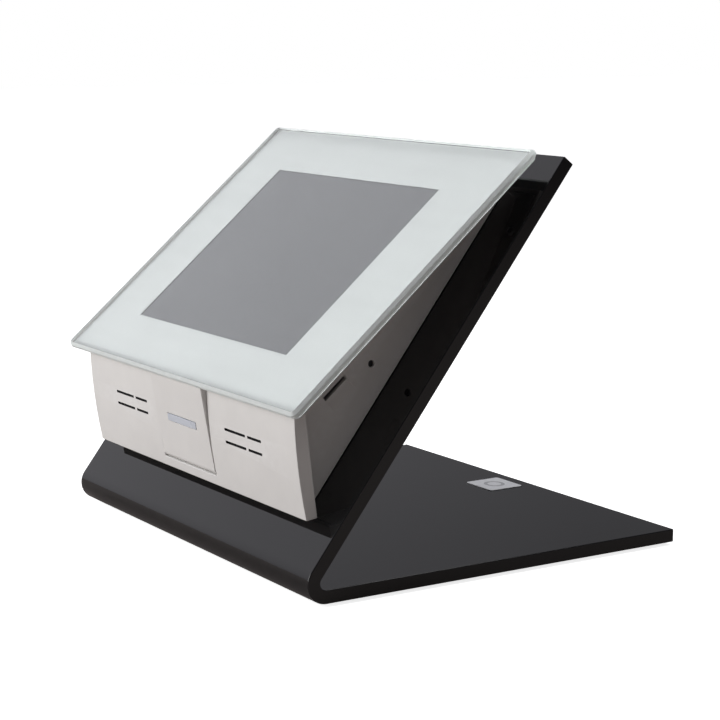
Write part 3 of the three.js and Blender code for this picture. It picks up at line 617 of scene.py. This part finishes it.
def stand_cutters():
    """The cable passage and the four screw holes, placed by what sits in them."""
    passage = centre_of("cable_grommet", PLATE)
    start, end = PASSAGE_REACH
    cutters = [(passage, PASSAGE, passage.z + start, passage.z + end, PASSAGE_SIDES)]
    start, end = BORE_REACH
    for i in range(1, 5):
        washer = centre_of(f"screw_washer_{i}", PLATE)
        cutters.append((washer, BORE, washer.z + start, washer.z + end, BORE_SIDES))
    return cutters


stand = soften(bored(stand_blank(), stand_cutters(), PLATE), ARRIS, ARRIS_STEPS)
piece("acrylic_stand_sheet", stand, FLAT, "terminal", "black_acrylic", ACRYLIC, "acrylic_stand")


# a foot's outline from its hollow to its top: shares of its radius and of its height
FOOT_RINGS = (
    (0.55, 0.25), (0.60, 0.05), (0.66, 0.0), (0.84, 0.0), (0.92, 0.10), (0.97, 0.3), (1.0, 0.6), (1.0, 1.0),
)
FOOT_SIDES = 40


def rubber_foot(i):
    low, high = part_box(f"rubber_foot_{i}")
    centre = (low + high) / 2
    radius = (high.x - low.x) / 2
    height = high.z - low.z
    loops = [circle(centre, radius * r, low.z + height * h, FOOT_SIDES) for r, h in FOOT_RINGS]
    piece(f"rubber_foot_{i}_pad", skin(loops), FLAT, "terminal", "rubber", RUBBER, f"rubber_foot_{i}")


for i in range(1, 5):
    rubber_foot(i)

LABEL_RIM = 0.12 * MM
LABEL_CORNER = 1.5 * MM
label_low, label_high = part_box("base_label")
label_centre, label_half = (label_low + label_high) / 2, (label_high - label_low) / 2
label_sides = round_edge(label_low.z, label_high.z, LABEL_RIM)
label = slab(label_low, label_high, LABEL_CORNER, label_sides)
label_look = foil(label_centre, label_half)
piece("base_label_foil", label, FLAT, "terminal", "label_foil", label_look, "base_label")

# ------------------------------------------------------------------ fixings


SCREW_SIDES = 36
THREAD = 0.5 * MM  # from one turn to the next
ROOT = 0.9  # the thread's root, as a share of its crest
TIP, TIP_LENGTH = 0.6, 0.4  # the tapered tip, as shares of the crest's radius
# the head's outline from its seat up: shares of its radius and of its height
SCREW_DOME = (
    (1.0, 0.0), (1.0, 0.22), (0.985, 0.42), (0.94, 0.62), (0.85, 0.80), (0.72, 0.94), (0.62, 1.0),
)
SOCKET_MOUTH, SOCKET = 0.54, 0.50  # shares of the head's radius
SOCKET_DEPTH = 0.62  # of the head's height
SOCKET_CHAMFER = (0.05 * MM, 0.15 * MM)  # depths below the head's top


def socket_screw(node, turn, radius, head, head_height):
    """A button-head screw: head at the frame's low end, hexagon socket sunk into it."""
    low, high = local_box(node, turn)
    centre = (low + high) / 2
    seat = low.z + head_height
    tip = high.z - radius * TIP_LENGTH
    loops = [
        circle(centre, radius * TIP, high.z, SCREW_SIDES),
        circle(centre, radius, tip, SCREW_SIDES),
    ]
    up = tip - THREAD
    while up > seat + 1.5 * THREAD:
        loops.append(circle(centre, radius * ROOT, up + THREAD * 0.5, SCREW_SIDES))
        loops.append(circle(centre, radius, up, SCREW_SIDES))
        up -= THREAD
    loops.append(circle(centre, radius, seat, SCREW_SIDES))
    loops += [circle(centre, head * r, seat - head_height * h, SCREW_SIDES) for r, h in SCREW_DOME]
    shallow, deep = SOCKET_CHAMFER
    loops.append(hexagon(centre, head * SOCKET_MOUTH, low.z + shallow, SCREW_SIDES))
    loops.append(hexagon(centre, head * SOCKET, low.z + deep, SCREW_SIDES))
    loops.append(hexagon(centre, head * SOCKET, low.z + head_height * SOCKET_DEPTH, SCREW_SIDES))
    piece(node + "_turned", skin(loops), turn, "terminal", "steel", STEEL, node)


STAND_SCREW = (1.9 * MM, 3.8 * MM, 2.2 * MM)  # thread radius, head radius, head height
CASE_SCREW = (1.1 * MM, 2.2 * MM, 1.4 * MM)
for i in range(1, 5):
    socket_screw(f"stand_screw_{i}", PLATE, *STAND_SCREW)
    socket_screw(f"case_screw_{i}", PANEL, *CASE_SCREW)

WASHER_RIM = 0.25 * MM
WASHER_SIDES = 48


def screw_washer(node):
    low, high = local_box(node, PLATE)
    centre, outer = (low + high) / 2, (high.x - low.x) / 2
    rim = round_edge(low.z, high.z, WASHER_RIM)
    loops = [circle(centre, outer - inset, up, WASHER_SIDES) for inset, up in rim]
    loops += [circle(centre, BORE + inset, up, WASHER_SIDES) for inset, up in reversed(rim)]
    piece(node + "_ring", skin(loops, True), PLATE, "terminal", "black_plastic", BLACK, node)


for i in range(1, 5):
    screw_washer(f"screw_washer_{i}")

NECK_GAP = 0.3 * MM  # between the grommet's neck and the passage
GROMMET_WALL = 3.8 * MM  # from the passage to the grommet's bore
LIP_HEIGHT = 1.6 * MM


def cable_grommet():
    """A ring with an outer lip behind the sheet and a neck through it, drawn as its section."""
    low, high = local_box("cable_grommet", PLATE)
    centre, lip = (low + high) / 2, (high.x - low.x) / 2
    neck, bore = PASSAGE - NECK_GAP, PASSAGE - GROMMET_WALL
    lip_top = low.z + LIP_HEIGHT
    section = [
        (bore, high.z), (bore, lip_top), (bore + 0.25 * MM, low.z + 0.7 * MM),
        (bore + 0.8 * MM, low.z + 0.2 * MM), (bore + 1.6 * MM, low.z), (lip - 0.9 * MM, low.z),
        (lip - 0.35 * MM, low.z + 0.15 * MM), (lip - 0.08 * MM, low.z + 0.5 * MM),
        (lip, low.z + 0.9 * MM), (lip - 0.08 * MM, lip_top - 0.15 * MM), (lip - 0.3 * MM, lip_top),
        (neck, lip_top), (neck, high.z),
    ]
    ring = skin([circle(centre, r, up, PASSAGE_SIDES) for r, up in section], True)
    piece("cable_grommet_ring", ring, PLATE, "terminal", "rubber", RUBBER, "cable_grommet")


cable_grommet()

# ------------------------------------------------------------------ glass front

BEVEL = 1.3 * MM
GLASS_CORNER = 3 * MM
GLASS_CORNER_STEPS = 12
FACE_ON = 0.95  # faces that look further round than this are the ground rim
# the bevel's two corners, eased: (inset, depth) from the glass's edge and face
EASED_BEVEL = (
    (BEVEL + 0.08 * MM, 0.0), (BEVEL - 0.02 * MM, 0.03 * MM),
    (0.03 * MM, BEVEL - 0.02 * MM), (0.0, BEVEL + 0.06 * MM),
)


def front_glass():
    """The glass: clear faces, ground bevels and edge."""
    low, high = local_box("front_glass", PANEL)
    sides = [(inset, low.z + depth) for inset, depth in EASED_BEVEL]
    sides += [(inset, high.z - depth) for inset, depth in reversed(EASED_BEVEL)]
    glass = slab(low, high, GLASS_CORNER, sides, GLASS_CORNER_STEPS)
    bmesh.ops.recalc_face_normals(glass, faces=glass.faces)
    for face in glass.faces:
        face.material_index = 0 if abs(face.normal.z) > FACE_ON else 1
    made = piece("front_glass_pane", glass, PANEL, "terminal", "white_glass", GLASS, "front_glass")
    made.data.materials.append(RIM)


front_glass()

# ------------------------------------------------------------------ housing

OPEN_REACH = 1.0  # a metre, so further than the model
X, Z = 0, 2


def shade_opening_walls(made, material, zones, axis):
    """Gives the walls of openings along an axis, inside the zones, another material: a dark one, as painted
    shade where the openings are only dark from shadow.
    """
    mesh = made.data
    mesh.materials.append(material)
    for turn, low, high in zones:
        back = turn.transposed()
        for face in mesh.polygons:
            centre, normal = back @ face.center, back @ face.normal
            within = all(low[i] <= centre[i] <= high[i] for i in range(3))
            if within and abs(normal[axis]) < 0.5:
                face.material_index = 1


def zone(node, turn, reach, open_axis):
    """A box that far round a node in a turned frame, with no limit along one axis."""
    low, high = local_box(node, turn)
    margin = Vector((reach, reach, reach))
    margin[open_axis] = OPEN_REACH
    return turn, low - margin, high + margin


# slots and the card slot are too narrow to have their edges rounded
speaker_zones = [zone(f"speaker_cloth_{side}", COVER, 0.0, Z) for side in ("left", "right")]
CARD_SLOT_REACH = 6.5 * MM  # from the card socket to past the finger scoop
card_zone = zone("card_socket", PANEL, CARD_SLOT_REACH, X)
bezel = softened("front_bezel", 0.4 * MM, "terminal", "white_plastic", WHITE, spare=speaker_zones)
# the speaker slots' walls get the black cloth as painted shade, for the shadow deep in the slots
shade_opening_walls(bezel, CLOTH, speaker_zones, Z)
softened("rear_case", 0.35 * MM, "terminal", "white_plastic", WHITE, spare=[card_zone])
softened("service_flap", 0.2 * MM, "flap", "white_plastic", WHITE)

BAR_CORNER, BAR_RIM = 0.5 * MM, 0.2 * MM
low, high = local_box("indicator_bar", COVER)
bar = slab(low, high, BAR_CORNER, round_edge(low.z, high.z, BAR_RIM))
piece("indicator_bar_lens", bar, COVER, "flap", "pale_blue_lens", LENS_BLUE, "indicator_bar")

softened("service_tray", 0.25 * MM, "terminal", "black_plastic", BLACK)
for i in (1, 2):
    softened(f"usb_socket_{i}", 0.1 * MM, "terminal", "steel", STEEL, 2)
softened("card_socket", 0.08 * MM, "terminal", "steel", STEEL, 2)

TONGUE_INSET = 0.95 * MM  # from the shell's sides and back
TONGUE_UNDER, TONGUE_OVER = -0.5 * MM, 1.5 * MM  # from the shell's middle
TONGUE_MOUTH = 0.45 * MM  # behind the shell's mouth
TONGUE_CORNER, TONGUE_RIM = 0.3 * MM, 0.2 * MM
CONTACTS = (-3.5 * MM, -1.0 * MM, 1.0 * MM, 3.5 * MM)  # across, from the tongue's middle
CONTACT_WIDE, CONTACT_THIN = 1.0 * MM, 0.15 * MM
CONTACT_MOUTH = 0.4 * MM  # behind the tongue's end
CONTACT_CORNER, CONTACT_RIM = 0.05 * MM, 0.04 * MM


def usb_tongue(i):
    """The plate inside a USB socket, with four gold contacts under it."""
    low, high = local_box(f"usb_socket_{i}", COVER)
    middle = (low + high) / 2
    low = Vector((low.x + TONGUE_INSET, middle.y + TONGUE_UNDER, low.z + TONGUE_INSET))
    high = Vector((high.x - TONGUE_INSET, middle.y + TONGUE_OVER, high.z - TONGUE_MOUTH))
    tongue = slab(low, high, TONGUE_CORNER, round_edge(low.z, high.z, TONGUE_RIM))
    piece(f"usb_tongue_{i}", tongue, COVER, "terminal", "black_plastic", BLACK)
    for k, x in enumerate(CONTACTS):
        left = Vector((middle.x + x - CONTACT_WIDE / 2, low.y - CONTACT_THIN, low.z))
        right = Vector((middle.x + x + CONTACT_WIDE / 2, low.y, high.z - CONTACT_MOUTH))
        strip = slab(left, right, CONTACT_CORNER, round_edge(left.z, right.z, CONTACT_RIM))
        piece(f"usb_contact_{i}_{k + 1}", strip, COVER, "terminal", "brass", GOLD)


for i in (1, 2):
    usb_tongue(i)

# ------------------------------------------------------------------ carried-over nodes

CARRIED = {
    "print_mask": INK, "glass_tape": FOAM, "touch_sensor": DISPLAY, "display_gasket": FOAM,
    "display_frame": STEEL, "display_cell": DISPLAY, "backlight_unit": ALUMINIUM,
    "mounting_plate": STEEL, "main_board": BOARD, "reset_switch": BLACK, "reset_button": BLACK,
    "terminal_block": BLACK, "heat_sink": ALUMINIUM, "display_ribbon": AMBER,
    "speaker_cloth_left": CLOTH, "speaker_cloth_right": CLOTH, "speaker_left": BLACK,
    "speaker_right": BLACK, "flap_hinge_pin": STEEL,
}
for i in range(1, 5):
    CARRIED[f"threaded_insert_{i}"] = BRASS
    CARRIED[f"board_standoff_{i}"] = BRASS
    CARRIED[f"board_screw_{i}"] = STEEL
for node, material in CARRIED.items():
    dress(node, material)

# ------------------------------------------------------------------ floor, light and world

FLOOR_GLOW = 0.82
FLOOR_BOUNCE = (0.46, 0.415, 0.395)
BRIGHT_SIDE = Vector((-0.85, -0.25, 0.45)).normalized()
# how far a direction faces the bright side, and how bright the room is there
ROOM = [(0.0, 0.05), (0.5, 0.10), (0.80, 0.16), (0.87, 0.24), (0.96, 0.72), (1.0, 0.80)]


def floor_paint():
    """Pale matt paper. It looks bright to the camera and gives back a dimmer, warmer light."""
    n = Nodes("floor")
    n.set(Base_Color=n.mix(n.noise(1.5, 2.0), (0.90, 0.90, 0.90), (0.93, 0.93, 0.93)))
    n.set(Roughness=0.9, Specular_IOR_Level=0.1)
    n.set(Emission_Color=(1, 1, 1), Emission_Strength=FLOOR_GLOW)
    dim = n.tree.nodes.new("ShaderNodeBsdfDiffuse")
    dim.inputs["Color"].default_value = (*FLOOR_BOUNCE, 1.0)
    path = n.tree.nodes.new("ShaderNodeLightPath")
    either = n.tree.nodes.new("ShaderNodeMixShader")
    n.link(path.outputs["Is Camera Ray"], either.inputs[0])
    n.link(dim.outputs[0], either.inputs[1])
    n.link(n.shader.outputs[0], either.inputs[2])
    n.link(either.outputs[0], n.out.inputs["Surface"])
    return n.material


FLOOR_HALF = 6.0


def make_floor():
    bm = bmesh.new()
    bmesh.ops.create_grid(bm, x_segments=2, y_segments=2, size=FLOOR_HALF)
    mesh = bpy.data.meshes.new("floor")
    bm.to_mesh(mesh)
    bm.free()
    mesh.materials.append(floor_paint())
    floor = bpy.data.objects.new("floor", mesh)
    bpy.context.scene.collection.objects.link(floor)


def lamp(name, place, target, size, power):
    """A soft white lamp that faces a target."""
    data = bpy.data.lights.new(name, "AREA")
    data.shape = "RECTANGLE"
    data.size, data.size_y = size
    data.energy = power
    made = bpy.data.objects.new(name, data)
    made.location = place
    made.rotation_mode = "QUATERNION"
    made.rotation_quaternion = (Vector(target) - Vector(place)).to_track_quat("-Z", "Y")
    bpy.context.scene.collection.objects.link(made)


def make_world():
    """White to look at; in reflections and as fill, a dim room that is bright on one side."""
    world = bpy.data.worlds.new("studio")
    world.use_nodes = True
    tree = world.node_tree
    tree.nodes.clear()
    out = tree.nodes.new("ShaderNodeOutputWorld")
    seen = tree.nodes.new("ShaderNodeBackground")
    seen.inputs["Color"].default_value = (1, 1, 1, 1)
    room = tree.nodes.new("ShaderNodeBackground")
    place = tree.nodes.new("ShaderNodeTexCoord")
    facing = tree.nodes.new("ShaderNodeVectorMath")
    facing.operation = "DOT_PRODUCT"
    facing.inputs[1].default_value = BRIGHT_SIDE
    tree.links.new(place.outputs["Generated"], facing.inputs[0])
    share = tree.nodes.new("ShaderNodeMapRange")
    share.inputs["From Min"].default_value = -1.0
    tree.links.new(facing.outputs["Value"], share.inputs["Value"])
    ramp = tree.nodes.new("ShaderNodeValToRGB")
    elements = ramp.color_ramp.elements
    elements[0].position, elements[1].position = ROOM[0][0], ROOM[-1][0]
    for at, _ in ROOM[1:-1]:
        elements.new(at)
    for element, (_, level) in zip(elements, ROOM):
        element.color = (0.98 * level, 0.97 * level, 1.03 * level, 1.0)
    tree.links.new(share.outputs[0], ramp.inputs[0])
    tree.links.new(ramp.outputs[0], room.inputs["Color"])
    path = tree.nodes.new("ShaderNodeLightPath")
    either = tree.nodes.new("ShaderNodeMixShader")
    tree.links.new(path.outputs["Is Camera Ray"], either.inputs[0])
    tree.links.new(room.outputs[0], either.inputs[1])
    tree.links.new(seen.outputs[0], either.inputs[2])
    tree.links.new(either.outputs[0], out.inputs["Surface"])
    bpy.context.scene.world = world


make_floor()
make_world()
lamp("key", (-0.7, -1.4, 0.45), (0, 0, 0.08), (1.1, 0.9), 18.5)
lamp("back", (0.25, 0.5, 1.5), (0, 0, 0.05), (0.9, 0.9), 10)
bpy.context.scene.view_settings.view_transform = "Standard"
